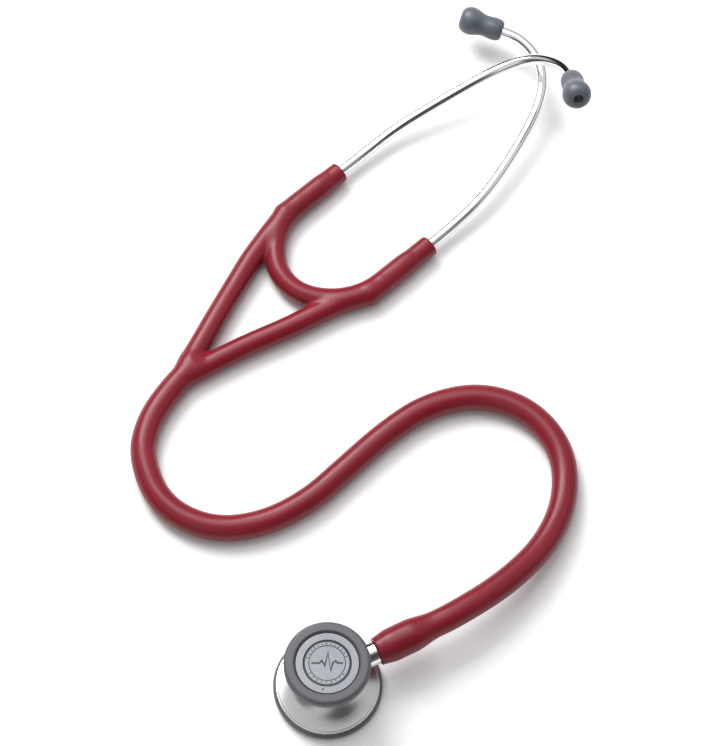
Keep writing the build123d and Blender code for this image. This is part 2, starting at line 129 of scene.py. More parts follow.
def lightStudio(setup):
    world = bpy.data.worlds.new("studioRoom")
    bpy.context.scene.world = world
    world.use_nodes = True
    tree = world.node_tree
    way = addNode(tree, "ShaderNodeTexCoord").outputs["Generated"]
    height = addNode(tree, "ShaderNodeSeparateXYZ", {"Vector": way}).outputs["Z"]
    low, high = setup["horizonBand"]
    light = spread(tree, height, setup["horizonShade"], 1.0, low, high, "SMOOTHSTEP")
    for direction, (inner, outer), left in setup["flags"]:
        centre = tuple(Vector(direction).normalized())
        facing = addNode(tree, "ShaderNodeVectorMath", {0: way, 1: centre}, operation="DOT_PRODUCT")
        shade = spread(tree, facing.outputs["Value"], 1.0, left, outer, inner, "SMOOTHSTEP")
        light = addNode(tree, "ShaderNodeMath", {0: light, 1: shade}, operation="MULTIPLY").outputs["Value"]
    power = addNode(tree, "ShaderNodeMath", {0: light, 1: setup["roomStrength"]}, operation="MULTIPLY")
    room = tree.nodes["Background"]
    room.inputs["Color"].default_value = (*setup["roomLight"], 1)
    tree.links.new(power.outputs["Value"], room.inputs["Strength"])
    target = Vector(cameraSetup["aim"])
    for name, (place, size, energy) in setup["panels"].items():
        addPanel(name, place, size, energy, target)


lightStudio(studio)
print("studio: camera and", len(studio["panels"]), "soft panels")


# material helpers

def startMaterial(name):
    material = bpy.data.materials.new(name)
    material.use_nodes = True
    tree = material.node_tree
    shader = tree.nodes["Principled BSDF"]
    return material, tree, shader


def setShader(tree, shader, values):
    for key, value in values.items():
        if hasattr(value, "is_output"):
            tree.links.new(value, shader.inputs[key])
        elif key == "Base Color":
            shader.inputs[key].default_value = (*value, 1)
        else:
            shader.inputs[key].default_value = value


def noise(tree, coordinates, scale, detail=4.0, roughness=0.5):
    inputs = {"Vector": coordinates, "Scale": scale, "Detail": detail, "Roughness": roughness}
    return addNode(tree, "ShaderNodeTexNoise", inputs).outputs["Fac"]


def blendColours(tree, value, dark, light, fromLow=0.3, fromHigh=0.7):
    ramp = addNode(tree, "ShaderNodeValToRGB", {"Fac": value})
    ramp.color_ramp.elements[0].position = fromLow
    ramp.color_ramp.elements[0].color = (*dark, 1)
    ramp.color_ramp.elements[1].position = fromHigh
    ramp.color_ramp.elements[1].color = (*light, 1)
    return ramp.outputs["Color"]


def bump(tree, height, depth, strength=1.0):
    inputs = {"Height": height, "Distance": depth, "Strength": strength}
    return addNode(tree, "ShaderNodeBump", inputs).outputs["Normal"]


def objectPlace(tree):
    return addNode(tree, "ShaderNodeTexCoord").outputs["Object"]


# materials

pvcLook = {
    "dark": (0.172, 0.0088, 0.0180),
    "light": (0.200, 0.0115, 0.0222),
    "roughness": (0.27, 0.34),
    "grainDepth": 0.00004,
}


def tubingPvc():
    material, tree, shader = startMaterial("tubingPvc")
    place = objectPlace(tree)
    cloudy = noise(tree, place, 38.0, 3.0)  # faint cloudiness of the dyed plastic
    grain = noise(tree, place, 900.0, 2.0)  # the die's fine matt skin
    setShader(tree, shader, {
        "Base Color": blendColours(tree, cloudy, pvcLook["dark"], pvcLook["light"]),
        "Roughness": spread(tree, noise(tree, place, 120.0, 5.0), *pvcLook["roughness"]),
        "Specular IOR Level": 0.27,
        "Normal": bump(tree, grain, pvcLook["grainDepth"], 0.35),
    })
    return material


steelLook = {"colour": (0.60, 0.605, 0.61), "roughness": (0.20, 0.30)}


def turnedSteel(name="turnedSteel", colour=steelLook["colour"], roughness=steelLook["roughness"]):
    material, tree, shader = startMaterial(name)
    place = objectPlace(tree)
    radius = addNode(tree, "ShaderNodeVectorMath", {0: place, 1: (1, 1, 0)}, operation="MULTIPLY")
    length = addNode(tree, "ShaderNodeVectorMath", {0: radius.outputs["Vector"]}, operation="LENGTH")
    grooves = addNode(tree, "ShaderNodeCombineXYZ", {"X": length.outputs["Value"]}).outputs["Vector"]
    lines = noise(tree, grooves, 5200.0, 3.0)  # tool marks run round the axis
    setShader(tree, shader, {
        "Base Color": colour,
        "Metallic": 1.0,
        "Roughness": spread(tree, lines, *roughness),
        "Anisotropic": 0.75,
        "Tangent": addNode(tree, "ShaderNodeTangent", direction_type="RADIAL", axis="Z").outputs["Tangent"],
        "Normal": bump(tree, lines, 0.00001, 0.35),
    })
    return material


def polishedMetal(name, colour, roughness):
    material, tree, shader = startMaterial(name)
    place = objectPlace(tree)
    smears = noise(tree, place, 55.0, 6.0, 0.6)  # handling film
    setShader(tree, shader, {
        "Base Color": blendColours(tree, smears, [0.96 * part for part in colour], colour),
        "Metallic": 1.0,
        "Roughness": spread(tree, smears, *roughness),
        "Normal": bump(tree, noise(tree, place, 400.0, 2.0), 0.000006, 0.2),
    })
    return material


def softRubber(name, dark, light, roughness, grainScale=1400.0, grainDepth=0.00004):
    material, tree, shader = startMaterial(name)
    place = objectPlace(tree)
    bloom = noise(tree, place, 70.0, 5.0, 0.6)  # dusty bloom on the rubber
    grain = noise(tree, place, grainScale, 3.0)
    setShader(tree, shader, {
        "Base Color": blendColours(tree, bloom, dark, light),
        "Roughness": spread(tree, bloom, *roughness),
        "Specular IOR Level": 0.45,
        "Normal": bump(tree, grain, grainDepth, 0.4),
    })
    return material


def diaphragmResin():
    material, tree, shader = startMaterial("diaphragmResin")
    place = objectPlace(tree)
    weave = noise(tree, place, 2600.0, 2.0)  # glass-fibre sparkle in the moulded disc
    haze = noise(tree, place, 60.0, 3.0)
    setShader(tree, shader, {
        "Base Color": blendColours(tree, haze, (0.165, 0.170, 0.190), (0.205, 0.210, 0.230)),
        "Metallic": 0.45,
        "Roughness": spread(tree, weave, 0.32, 0.42),
        "Normal": bump(tree, weave, 0.00001, 0.3),
    })
    return material


def plainPaper():
    material, tree, shader = startMaterial("paleFloor")
    place = objectPlace(tree)
    fibres = noise(tree, place, 300.0, 4.0)
    light = studio["floorColour"]
    setShader(tree, shader, {
        "Base Color": blendColours(tree, fibres, [0.99 * part for part in light], light),
        "Roughness": 0.9,
        "Specular IOR Level": 0.1,
    })
    return material


pvc = tubingPvc()
steel = turnedSteel()
chrome = polishedMetal("chromedTube", (0.80, 0.80, 0.81), (0.05, 0.10))
bright = polishedMetal("polishedSteel", (0.74, 0.745, 0.755), (0.07, 0.13))
spring = polishedMetal("springSteel", (0.42, 0.43, 0.46), (0.24, 0.34))
rimRubber = softRubber("rimRubber", (0.075, 0.076, 0.086), (0.098, 0.099, 0.110), (0.46, 0.56))
tipRubber = softRubber("tipRubber", (0.080, 0.092, 0.112), (0.105, 0.120, 0.142), (0.34, 0.44))
surroundRubber = softRubber("surroundRubber", (0.03, 0.03, 0.033), (0.045, 0.045, 0.05), (0.5, 0.6))
sealRubber = softRubber("sealRubber", (0.012, 0.012, 0.013), (0.02, 0.02, 0.022), (0.4, 0.5))
resin = diaphragmResin()
paper = plainPaper()

nodeFinish = {
    "adult_surround": surroundRubber,
    "paediatric_surround": surroundRubber,
    "adult_diaphragm": resin,
    "paediatric_diaphragm": resin,
    "stem_o_ring": sealRubber,
    "stem_retaining_ring": spring,
    "detent_ball": bright,
    "detent_spring": spring,
    "left_spring_saddle": surroundRubber,
    "right_spring_saddle": surroundRubber,
}
for name, material in nodeFinish.items():
    mesh = cadNodes[name].data
    mesh.materials.clear()
    mesh.materials.append(material)
print("materials: ", len(nodeFinish), "CAD pieces dressed")


# mesh helpers

def addPiece(name, vertices, faces, material, normals=None):
    mesh = bpy.data.meshes.new(name)
    mesh.from_pydata([tuple(vertex) for vertex in vertices], [], faces)
    mesh.materials.append(material)
    mesh.shade_smooth()
    if normals is not None:
        mesh.normals_split_custom_set_from_vertices([tuple(normal) for normal in normals])
    piece = bpy.data.objects.new(name, mesh)
    bpy.context.scene.collection.objects.link(piece)
    return piece


def splinePoints(route):
    curve = bpy.data.curves.new("routeLine", "CURVE")
    curve.dimensions = "3D"
    curve.resolution_u = 24
    spline = curve.splines.new("NURBS")
    spline.points.add(len(route) - 1)
    for point, place in zip(spline.points, route):
        point.co = (*place, 1)
    spline.order_u = 3
    spline.use_endpoint_u = True
    carrier = bpy.data.objects.new("routeLine", curve)
    line = bpy.data.meshes.new_from_object(carrier)
    points = np.array([vertex.co for vertex in line.vertices])
    bpy.data.objects.remove(carrier)
    bpy.data.curves.remove(curve)
    bpy.data.meshes.remove(line)
    return points


class Path:  # a line of points that can be asked for its place and direction at any length
    def __init__(self, points):
        self.points = np.asarray(points, float)
        steps = np.linalg.norm(np.diff(self.points, axis=0), axis=1)
        self.lengths = np.concatenate([[0.0], np.cumsum(steps)])
        self.total = self.lengths[-1]

    def at(self, length):
        inside = [np.interp(length, self.lengths, self.points[:, axis]) for axis in range(3)]
        over = max(0.0, length - self.total)
        return np.array(inside) + over * self.direction(length)

    def direction(self, length):
        middle = min(max(length, 0.0003), self.total - 0.0003)
        ahead = [np.interp(middle + 0.0003, self.lengths, self.points[:, axis]) for axis in range(3)]
        behind = [np.interp(middle - 0.0003, self.lengths, self.points[:, axis]) for axis in range(3)]
        way = np.array(ahead) - np.array(behind)
        return way / np.linalg.norm(way)


def ringTube(name, path, rings, sides, material):
    # rings are (length along the path, radius); the first and last are closed
    vertices, faces = [], []
    side = np.cross((0, 0, 1), path.direction(rings[0][0]))
    for length, radius in rings:
        way = path.direction(length)
        side = side - way * (side @ way)
        side = side / np.linalg.norm(side)
        lift = np.cross(way, side)
        centre = path.at(length)
        for step in range(sides):
            turn = 2 * math.pi * step / sides
            vertices.append(centre + radius * (math.cos(turn) * side + math.sin(turn) * lift))
    for ring in range(len(rings) - 1):
        for step in range(sides):
            here, after = ring * sides + step, ring * sides + (step + 1) % sides
            faces.append((here, after, after + sides, here + sides))
    last = (len(rings) - 1) * sides
    faces.append(tuple(range(sides))[::-1])
    faces.append(tuple(range(last, last + sides)))
    return addPiece(name, vertices, faces, material)


# hose

hose = {
    "radius": 0.0056,
    "mouthRadius": 0.0060,  # where it is pushed against the stem's shoulder
    "swellRadius": 0.00705,  # stretched over the barbs
    "swellFrom": 0.0070,
    "swellTo": 0.0150,
    "settled": 0.0270,
    "insideRadius": 0.0033,
    "insideDepth": 0.0170,
    "sides": 56,
    "spacing": 0.0012,
}
hoseRoute = [
    (0.0201, 0.01006, 0.0155),  # the stem's shoulder
    (0.0416, 0.0208, 0.0155),
    (0.0528, 0.0264, 0.0155),
    (0.0736, 0.0409, 0.0126),
    (0.0912, 0.0594, 0.0090),
    (0.1007, 0.0814, 0.0066),
    (0.1000, 0.1045, 0.0056),
    (0.0865, 0.1230, 0.0056),
    (0.0650, 0.1306, 0.0056),
    (0.0421, 0.1251, 0.0056),
    (0.0244, 0.1122, 0.0056),
    (0.0081, 0.0965, 0.0056),
    (-0.0083, 0.0805, 0.0056),
    (-0.0288, 0.0696, 0.0056),
    (-0.0510, 0.0677, 0.0056),
    (-0.0714, 0.0790, 0.0056),
    (-0.0800, 0.1009, 0.0056),
    (-0.0778, 0.1160, 0.0056),
    (-0.0710, 0.1290, 0.0056),
    (-0.0647, 0.1369, 0.0056),
]


def ease(value, start, end):
    share = min(max((value - start) / (end - start), 0.0), 1.0)
    return share * share * (3 - 2 * share)


def hoseRadius(length):
    swelling = ease(length, 0.0, hose["swellFrom"]) * (hose["swellRadius"] - hose["mouthRadius"])
    settling = ease(length, hose["swellTo"], hose["settled"]) * (hose["swellRadius"] - hose["radius"])
    return hose["mouthRadius"] + swelling - settling


def makeHose():
    path = Path(splinePoints(hoseRoute))
    mouth = hose["mouthRadius"]
    rings = [
        (hose["insideDepth"], hose["insideRadius"]),
        (0.0, hose["insideRadius"]),
        (0.0, mouth - 0.0005),
        (0.00008, mouth - 0.0002),
        (0.00030, mouth - 0.00004),
    ]
    count = round(path.total / hose["spacing"])
    for step in range(1, count + 1):
        length = path.total * step / count
        rings.append((length, hoseRadius(length)))
    rings.append((path.total + 0.0008, hose["radius"] - 0.00003))  # ends inside the yoke's neck
    rings.append((path.total + 0.0030, hose["radius"] - 0.0006))
    piece = ringTube("hoseTube", path, rings, hose["sides"], pvc)
    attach(piece, "tubing")
    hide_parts("hose", "hose_cuff")
    return path


hosePath = makeHose()
print("hose: ", round(hosePath.total, 4), "m long")


# yoke: two legs, a web and two arms moulded in one with the hose

yoke = {
    "start": (-0.0655, 0.1377, 0.0056),
    "heading": (8.1, 7.5),  # the way the headset points
    # the rest is in millimetres along and across from the start
    "legRadius": 4.95,
    "legs": [
        [
            (3, -0.3), (6.5, 1.3), (10, 2.8), (17, 5.2), (25, 8.2), (34, 11.6),
            (43, 14.8), (52, 18.0), (61, 21.3), (70, 23.7), (80, 26.2), (88, 27.9),
        ],
        [
            (3, -1.5), (6.5, -2.3), (10, -3.0), (17, -4.6), (25, -6.5), (35, -9.1),
            (44, -11.9), (54, -14.9), (64, -17.4), (75, -20.2), (83, -23.3), (89, -25.9),
        ],
    ],
    "web": [
        (97, 27.8), (89, 27.4), (81.5, 24.6), (73.6, 18.8), (67.6, 10.8), (65.7, 2.8),
        (66.7, -5.2), (71.2, -13.2), (78.5, -20), (86, -24.6), (96, -26.4),
    ],
    "webRadius": 4.75,
    "arms": [[(88.3, 28.0), (100, 27.8), (130, 27.4)], [(88.6, -25.9), (100, -26.3), (130, -26.7)]],
    "armRadius": 5.3,
    "sleeveFrom": (108.5, 116.0),
    "sleeveRadius": 4.8,
    "sleeveEnd": {"left": 121.0, "right": 125.0},
    "edgeRound": 1.1,
    "neckRadius": 5.57,
    "neckOverlap": 1.2,  # hidden in the end of the hose
    "neckEnd": 8.5,
    "neckBlend": 3.4,
    "crotchBlend": 1.6,
    "webBlend": 2.2,
    "armBlend": 1.2,
    "spacing": 0.6,
    "voxel": 0.62,
    "splitPlace": 79.0,
    "bendFrom": 81.0,
    "bendTo": 100.0,
}
yokeStart = Vector(yoke["start"])
alongYoke = Vector((*yoke["heading"], 0)).normalized()
acrossYoke = Vector((-alongYoke.y, alongYoke.x, 0))


def inYoke(place):
    offset = (Vector(place) - yokeStart) / mm
    return np.array([offset @ alongYoke, offset @ acrossYoke, offset.z])


neckStart = inYoke(hoseRoute[-1])
neckWay = neckStart - inYoke(hoseRoute[-2])
neckWay = neckWay / np.linalg.norm(neckWay)


def polylineField(points, path, radii):
    # distance to the skin of a tube along the path, and its direction, for every point
    starts, ends = path[:-1], path[1:]
    runs = ends - starts
    squares = np.einsum("ij,ij->i", runs, runs)
    best = np.full(len(points), 1e9)
    away = np.zeros((len(points), 3))
    for start, run, square, r0, r1 in zip(starts, runs, squares, radii[:-1], radii[1:]):
        offset = points - start
        share = np.clip(offset @ run / square, 0, 1)
        gap = offset - share[:, None] * run
        reach = np.sqrt(np.einsum("ij,ij->i", gap, gap)) + 1e-9
        distance = reach - (r0 + share * (r1 - r0))
        nearer = distance < best
        best[nearer] = distance[nearer]
        away[nearer] = gap[nearer] / reach[nearer, None]
    return best, away


def joinFields(first, second, softness):
    share = np.clip(0.5 + 0.5 * (second[0] - first[0]) / softness, 0, 1)
    distance = second[0] * (1 - share) + first[0] * share - softness * share * (1 - share)
    away = second[1] * (1 - share)[:, None] + first[1] * share[:, None]
    return distance, away


def trimField(field, plane, softness):
    flipped = joinFields((-field[0], -field[1]), (-plane[0], -plane[1]), softness)
    return -flipped[0], -flipped[1]


def flatPath(route):
    path = Path(splinePoints([(x, y, 0.0) for x, y in route]))
    count = int(path.total / yoke["spacing"]) + 1
    return np.array([path.at(path.total * step / count) for step in range(count + 1)])


def armRadius(place):
    return yoke["armRadius"] - ease(place, *yoke["sleeveFrom"]) * (yoke["armRadius"] - yoke["sleeveRadius"])


def yokeField(points, lines):
    legs = [polylineField(points, path, np.full(len(path), yoke["legRadius"])) for path in lines["legs"]]
    body = joinFields(legs[0], legs[1], yoke["crotchBlend"])
    neck = polylineField(points, lines["neck"], np.full(2, yoke["neckRadius"]))
    past = np.clip((points - neckStart) @ neckWay / 11.0, 0.0, 1.0)  # no swelling where the hose joins
    body = joinFields(body, neck, yoke["neckBlend"] * past * past * (3 - 2 * past) + 0.02)
    web = polylineField(points, lines["web"], np.full(len(lines["web"]), yoke["webRadius"]))
    body = joinFields(body, web, yoke["webBlend"])
    for path in lines["arms"]:
        arm = polylineField(points, path, np.array([armRadius(x) for x, y, z in path]))
        body = joinFields(body, arm, yoke["armBlend"])
    ends = np.where(points[:, 1] > 0, yoke["sleeveEnd"]["left"], yoke["sleeveEnd"]["right"])
    forward = np.tile(np.array([1.0, 0.0, 0.0]), (len(points), 1))
    body = trimField(body, (points[:, 0] - ends, forward), yoke["edgeRound"])
    down = np.tile(np.array([0.0, 0.0, -1.0]), (len(points), 1))
    return trimField(body, (0.05 - yokeStart.z / mm - points[:, 2], down), 0.3)  # rests flat on the table


def roughYoke(lines):
    # overlapping tubes fused into one skin, ready to be drawn onto the blended shape
    tubes = []
    for path, radius in [(path, 4.8) for path in (*lines["legs"], lines["web"], *lines["arms"])]:
        tube = Path(path)
        count = int(tube.total / 1.5)
        rings = [(tube.total * step / count, radius) for step in range(count + 1)]
        tubes.append(ringTube("roughTube", tube, rings, 24, pvc))
    neck = Path(lines["neck"])
    tubes.append(ringTube("roughTube", neck, [(neck.total * step / 8, 5.5) for step in range(9)], 24, pvc))
    joined = bmesh.new()
    for tube in tubes:
        joined.from_mesh(tube.data)
        bpy.data.objects.remove(tube)
    skin = bpy.data.meshes.new("roughYoke")
    joined.to_mesh(skin)
    joined.free()
    carrier = bpy.data.objects.new("roughYoke", skin)
    bpy.context.scene.collection.objects.link(carrier)
    remesh = carrier.modifiers.new("fuse", "REMESH")
    remesh.mode = "VOXEL"
    remesh.voxel_size = yoke["voxel"]
    bpy.context.view_layer.update()
    evaluated = carrier.evaluated_get(bpy.context.evaluated_depsgraph_get())
    fused = bpy.data.meshes.new_from_object(evaluated)
    bpy.data.objects.remove(carrier)
    return fused


def meshPlaces(mesh):
    places = np.empty(len(mesh.vertices) * 3)
    mesh.vertices.foreach_get("co", places)
    return places.reshape(-1, 3)


def drawOnto(places, lines, passes):
    for _ in range(passes):
        distance, away = yokeField(places, lines)
        square = np.maximum(np.einsum("ij,ij->i", away, away), 0.2)
        places = places - away * (distance / square)[:, None]
    return places


def inPart(places):
    start, along, across = (np.array(vector) for vector in (yokeStart, alongYoke, acrossYoke))
    flat = places[:, :1] * along + places[:, 1:2] * across
    return start + mm * (flat + places[:, 2:] * np.array([0, 0, 1]))


def turnNormals(away):
    along, across = np.array(alongYoke), np.array(acrossYoke)
    return away[:, :1] * along + away[:, 1:2] * across + away[:, 2:] * np.array([0, 0, 1])


def cutMesh(work, place, way):
    everything = work.verts[:] + work.edges[:] + work.faces[:]
    bmesh.ops.bisect_plane(work, geom=everything, plane_co=place, plane_no=way, dist=1e-5)


def makeYoke():
    lines = {"legs": [flatPath(route) for route in yoke["legs"]], "web": flatPath(yoke["web"])}
    lines["arms"] = [flatPath(route) for route in yoke["arms"]]
    lines["neck"] = np.array([neckStart - 6 * neckWay, neckStart + yoke["neckEnd"] * neckWay])
    mesh = roughYoke(lines)
    places = drawOnto(meshPlaces(mesh), lines, passes=4)
    mesh.vertices.foreach_set("co", places.ravel())
    work = bmesh.new()
    work.from_mesh(mesh)
    bmesh.ops.smooth_vert(
        work, verts=work.verts[:], factor=0.5, use_axis_x=True, use_axis_y=True, use_axis_z=True,
    )
    split = (np.array([yoke["splitPlace"], 0.0, 0.0]), np.array([1.0, 0.0, 0.0]))
    neckCut = neckStart - yoke["neckOverlap"] * neckWay
    cuts = [(neckCut, neckWay), split]
    for place, way in cuts:
        cutMesh(work, place, way)
    behind = [face for face in work.faces if (np.array(face.calc_center_median()) - neckCut) @ neckWay < 0]
    bmesh.ops.delete(work, geom=behind, context="FACES")
    groups = {"yokeCentre": [], "leftArmTube": [], "rightArmTube": []}
    for face in work.faces:
        middle = face.calc_center_median()
        if middle.x < yoke["splitPlace"]:
            groups["yokeCentre"].append(face)
        else:
            groups["leftArmTube" if middle.y > 0 else "rightArmTube"].append(face)
    pieces = {}
    for name, members in groups.items():
        order, places, faces = {}, [], []
        for face in members:
            for vertex in face.verts:
                if vertex not in order:
                    order[vertex] = len(places)
                    places.append(tuple(vertex.co))
            faces.append([order[vertex] for vertex in face.verts])
        places = np.array(places)
        held = [np.abs((places - place) @ way) < 1e-4 for place, way in cuts]  # rims of the cuts stay flat
        for _ in range(3):
            places = drawOnto(places, lines, passes=1)
            for rim, (place, way) in zip(held, cuts):
                places[rim] -= ((places[rim] - place) @ way)[:, None] * way
        away = yokeField(places, lines)[1]
        away[held[0]] -= (away[held[0]] @ neckWay)[:, None] * neckWay
        away = away / np.linalg.norm(away, axis=1)[:, None]
        pieces[name] = addPiece(name, inPart(places), faces, pvc, turnNormals(away))
    work.free()
    return pieces


yokePieces = makeYoke()
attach(yokePieces["yokeCentre"], "tubing")
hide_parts("yoke")
for side, route in zip(("left", "right"), yoke["arms"]):
    arm = yokePieces[side + "ArmTube"]
    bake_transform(arm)
    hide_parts(side + "_sleeve")
print("yoke: ", {name: len(piece.data.polygons) for name, piece in yokePieces.items()})


# turned pieces

def softCorners(outline):
    # outline points are (radius, height) or (radius, height, rounding)
    points = []
    for index, corner in enumerate(outline):
        here = np.array(corner[:2], float)
        if len(corner) < 3 or index in (0, len(outline) - 1):
            points.append(here)
            continue
        before, after = (np.array(outline[index + way][:2], float) for way in (-1, 1))
        back, ahead = before - here, after - here
        cut = min(corner[2], 0.49 * np.linalg.norm(back), 0.49 * np.linalg.norm(ahead))
        start = here + cut * back / np.linalg.norm(back)
        end = here + cut * ahead / np.linalg.norm(ahead)
        for step in range(6):
            share = step / 5
            points.append((1 - share) ** 2 * start + 2 * share * (1 - share) * here + share**2 * end)
    return points


def smoothOutline(outline):
    return [(x, y) for x, y, z in splinePoints([(*corner, 0.0) for corner in outline])]


def turnedPiece(name, outline, material, centre=(0, 0, 0), axis=(0, 0, 1), steps=144, closed=False):
    # spins an outline in millimetres round an axis; its normals follow the longer runs
    points = np.array([corner[:2] for corner in outline], float)
    runs = np.diff(np.vstack([points, points[:1]]), axis=0)
    if not closed:
        runs[-1] = 0
    sideways = np.stack([runs[:, 1], -runs[:, 0]], axis=1)  # weighted by each run's length
    normals = sideways + np.roll(sideways, 1, axis=0)
    normals = normals / np.maximum(np.linalg.norm(normals, axis=1), 1e-9)[:, None]
    axis = np.array(Vector(axis).normalized())
    side = np.cross(axis, (0, 0, 1) if abs(axis[2]) < 0.9 else (1, 0, 0))
    side = side / np.linalg.norm(side)
    lift = np.cross(axis, side)
    vertices, directions, rows = [], [], []
    for (radius, height), (outward, upward) in zip(points, normals):
        row = []
        turns = 1 if radius < 1e-6 else steps
        for step in range(turns):
            turn = 2 * math.pi * step / steps
            spoke = math.cos(turn) * side + math.sin(turn) * lift
            row.append(len(vertices))
            vertices.append(np.array(centre) + mm * (radius * spoke + height * axis))
            tip = axis * math.copysign(1, upward)
            directions.append(tip if turns == 1 else outward * spoke + upward * axis)
        rows.append(row * steps if turns == 1 else row)
    faces = []
    for below, above in zip(rows, rows[1:] + ([rows[0]] if closed else [])):
        for step in range(steps):
            after = (step + 1) % steps
            ring = [below[step], below[after], above[after], above[step]]
            faces.append([corner for place, corner in enumerate(ring) if corner != ring[place - 1]])
    return addPiece(name, vertices, faces, material, directions)


def settle(piece, body, slot, *nodes):
    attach(piece, body)
    if nodes:
        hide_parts(*nodes)


# chestpiece

chest = {
    "steps": 192,
    "edge": 21.5,  # where the skirt meets the rim's lip
    "skirt": [(20.55, 4.55), (18.6, 5.0), (14.6, 6.4), (11.0, 9.4), (9.0, 12.4), (8.6, 15.0)],
    "cupInset": 1.1,  # from the small rim's edge to the cup under it
    "cupDrop": 3.0,
    "underside": 1.9,
    "flare": [(8.6, 16.5), (8.7, 19.0), (10.2, 22.6), (13.4, 25.0), (16.6, 26.3)],
}
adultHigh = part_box("adult_rim")[1]
paedLow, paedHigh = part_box("paediatric_rim")
adultRadius, paedRadius = adultHigh.x / mm, paedHigh.x / mm
adultTop, paedTop = adultHigh.z / mm, paedHigh.z / mm
paedBottom = paedLow.z / mm


def makeBody():
    edge = chest["edge"]
    low = chest["underside"]
    outline = [(0.0, low), (edge - 0.5, low), (edge, low + 0.3), (edge, adultTop + 0.15, 0.1)]
    outline += [(edge - 0.2, adultTop + 0.3, 0.1), (20.7, adultTop + 0.42, 0.1)]  # polished edge bead
    outline += smoothOutline(chest["skirt"]) + smoothOutline(chest["flare"])
    cup = paedRadius - chest["cupInset"]
    cupTop = paedTop - chest["cupDrop"]
    outline += [(cup, paedBottom - 0.1, 0.1), (cup, cupTop), (0.0, cupTop)]
    body = turnedPiece("chestpieceBody", softCorners(outline), steel, steps=chest["steps"])
    settle(body, "chestpiece", "steel", "chestpiece_body")


def makeRims():
    outer = adultRadius
    outline = [
        (19.8, 0.9), (19.8, 0.45, 0.2), (20.6, 0.0, 0.5), (outer - 0.9, 0.0, 0.5), (outer, 0.9, 0.8),
        (outer, adultTop - 0.5, 0.5), (outer - 0.45, adultTop, 0.4), (chest["edge"] + 0.05, adultTop, 0.12),
        (chest["edge"] + 0.05, adultTop - 0.8), (chest["edge"] - 0.5, 1.95), (19.8, 1.95), (19.8, 0.9),
    ]
    section = softCorners(outline)[:-1]
    rim = turnedPiece("adultRim", section, rimRubber, steps=chest["steps"], closed=True)
    settle(rim, "chestpiece", "rim_rubber", "adult_rim")
    outer, top, bottom = paedRadius, paedTop, paedBottom
    outline = [
        (13.1, top - 1.6), (outer - 1.2, top - 3.2), (outer - 1.2, bottom, 0.1), (outer - 0.5, bottom, 0.4),
        (outer, bottom + 0.9, 0.8), (outer, top - 1.1, 0.9), (outer - 1.0, top, 0.8), (13.85, top, 0.12),
        (13.1, top - 0.75, 0.12), (13.1, top - 1.6),
    ]
    section = softCorners(outline)[:-1]
    rim = turnedPiece("paediatricRim", section, rimRubber, steps=chest["steps"], closed=True)
    settle(rim, "chestpiece", "rim_rubber", "paediatric_rim")


stemShape = {
    "shoulder": 22.5,
    "steps": 96,
    "barbs": 3,
    "barbPitch": 4.5,
}


def makeStem():
    outline = [
        (0.0, -4.5), (3.45, -4.5, 0.3), (3.45, 10.2), (4.9, 10.2, 0.2), (4.9, 11.2, 0.2), (3.45, 11.2),
        (3.45, 13.3), (4.6, 13.3, 0.1), (5.0, 13.8, 0.3), (5.0, stemShape["shoulder"] - 0.35, 0.3),
        (4.6, stemShape["shoulder"], 0.2), (3.2, stemShape["shoulder"]),
    ]
    for barb in range(stemShape["barbs"]):
        start = stemShape["shoulder"] + 1.5 + barb * stemShape["barbPitch"]
        outline += [(3.2, start), (3.25, start + 0.05), (3.2, start + 0.7 * stemShape["barbPitch"])]
    outline += [(3.2, outline[-1][1] + 0.5), (0.0, outline[-1][1] + 0.5)]
    height = hoseRoute[0][2]
    way = Vector((hoseRoute[0][0], hoseRoute[0][1], 0))
    stem = turnedPiece("polishedStem", softCorners(outline), bright, (0, 0, height), way, stemShape["steps"])
    settle(stem, "tubing", "polished_steel", "stem")


makeBody()
makeRims()
makeStem()
print("chestpiece: body, rims and stem")


# printed badge on the small diaphragm

badge = {
    "ink": (0.010, 0.011, 0.014),
    "thickness": 0.04,
    "rings": [(8.95, 9.95), (7.2, 7.55)],
    "tickRadius": (7.8, 8.7),
    "tickWidth": 0.42,
    "ticks": [*range(20, 165, 12), *range(212, 325, 14)],  # degrees round the badge
    "pulse": [
        (-6.4, 0), (-3.1, 0), (-2.3, 1.0), (-1.5, 0), (-0.9, -1.1), (0.3, 4.3),
        (1.5, -3.4), (2.2, 0), (3.4, 0.9), (4.3, 0), (6.4, 0),
    ],
    "pulseWidth": 0.8,
    "dot": (-1.7, -11.0, 0.42),
    "dotSides": 21,
}
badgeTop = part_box("paediatric_diaphragm")[1].z / mm


def inkMaterial():
    material, tree, shader = startMaterial("printInk")
    place = objectPlace(tree)
    wear = noise(tree, place, 900.0, 3.0)
    setShader(tree, shader, {
        "Base Color": blendColours(tree, wear, badge["ink"], [1.8 * part for part in badge["ink"]]),
        "Roughness": spread(tree, wear, 0.38, 0.5),
    })
    return material


ink = inkMaterial()


def inkBlock(name, outline):
    # a flat outline in millimetres raised to the thickness of the print
    low, high = badgeTop - 0.02, badgeTop + badge["thickness"]
    count = len(outline)
    vertices = [(x * mm, y * mm, z * mm) for z in (low, high) for x, y in outline]
    faces = [tuple(range(count))[::-1], tuple(range(count, 2 * count))]
    faces += [(i, (i + 1) % count, (i + 1) % count + count, i + count) for i in range(count)]
    piece = addPiece(name, vertices, faces, ink)
    piece.data.shade_flat()
    return piece


